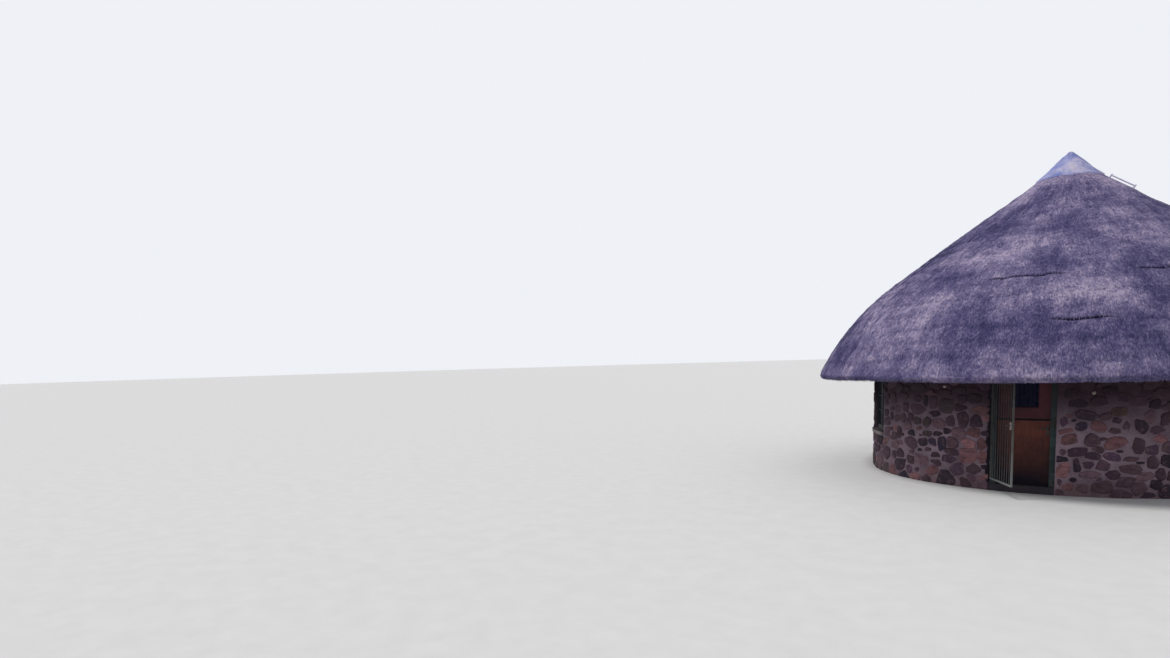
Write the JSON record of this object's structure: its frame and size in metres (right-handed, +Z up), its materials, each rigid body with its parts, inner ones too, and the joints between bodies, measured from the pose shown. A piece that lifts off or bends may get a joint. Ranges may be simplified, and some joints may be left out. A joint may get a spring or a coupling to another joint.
{
  "type": "rondavel hut",
  "caption": "Round stone hut with a thick thatched cone roof on bent poles, a capped peak, a two-leaf stable door, an outward-opening barred gate and side windows.",
  "frame": {"origin": "on the ground at the centre of the round wall", "axes": "+Z up, the doorway faces -Y, +X to the right of a person who faces the door"},
  "size_m": [9.3398, 9.3394, 6.2235],
  "materials": {
    "rubble_stone": "random rubble in wide flush mortar",
    "concrete": "float-finished",
    "green_paint": "dark green oil paint on timber, weathered",
    "varnished_wood": "brown varnish",
    "dark_iron": "black paint, worn",
    "pane_glass": "clear, dark room behind",
    "gate_paint": "pale grey-green paint on steel tube",
    "lock_steel": "zinc-plated",
    "pole_wood": "peeled gum pole, weathered",
    "grass_thatch": "weathered combed grass, grey",
    "cap_render": "trowelled cement, pale paint"
  },
  "bodies": {
    "hut": {"wall_front_left": "rubble_stone", "wall_front_right": "rubble_stone", "wall_over_door": "rubble_stone", "wall_under_left_window": "rubble_stone", "wall_over_left_window": "rubble_stone", "wall_under_right_window": "rubble_stone", "wall_over_right_window": "rubble_stone", "wall_side_left": "rubble_stone", "wall_side_right": "rubble_stone", "wall_back_left": "rubble_stone", "wall_back_right": "rubble_stone", "floor_screed": "concrete", "ring_beam": "concrete", "threshold": "concrete", "door_lintel": "concrete", "window_lintels": "concrete", "door_frame": "green_paint", "frame_hinge_pins": "dark_iron", "gate_pintles": "dark_iron", "gate_keep": "dark_iron", "window_frame_left": "green_paint", "window_frame_right": "green_paint", "window_glass": "pane_glass", "window_sills": "concrete", "rafter_hub": "pole_wood", "long_rafters": "pole_wood", "short_rafters": "pole_wood", "laths": "pole_wood", "thatch_front": "grass_thatch", "thatch_front_right": "grass_thatch", "thatch_back_right": "grass_thatch", "thatch_back": "grass_thatch", "thatch_back_left": "grass_thatch", "thatch_front_left": "grass_thatch", "cap": "cap_render", "cap_tie": "gate_paint"},
    "gate": {"gate_leaf": "gate_paint", "gate_lock": "lock_steel"},
    "lower_door": {"lower_leaf": "varnished_wood", "lower_leaf_hinges": "dark_iron", "lower_leaf_handle": "dark_iron"},
    "upper_door": {"upper_leaf": "varnished_wood", "upper_leaf_hinges": "dark_iron", "upper_leaf_glass": "pane_glass", "upper_leaf_bolt": "dark_iron"}
  },
  "joints": [
    {"name": "gate_hinge", "type": "hinge", "parent": "hut", "child": "gate", "pos_m": [-0.4695, -3.51285, 1], "axis": [0, 0, -1], "range_deg": [-57, 93]},
    {"name": "lower_door_hinge", "type": "hinge", "parent": "hut", "child": "lower_door", "pos_m": [-0.409, -3.33785, 0.6], "axis": [0, 0, 1], "range_deg": [0, 100]},
    {"name": "upper_door_hinge", "type": "hinge", "parent": "hut", "child": "upper_door", "pos_m": [-0.409, -3.33785, 1.7], "axis": [0, 0, 1], "range_deg": [0, 100]}
  ]
}
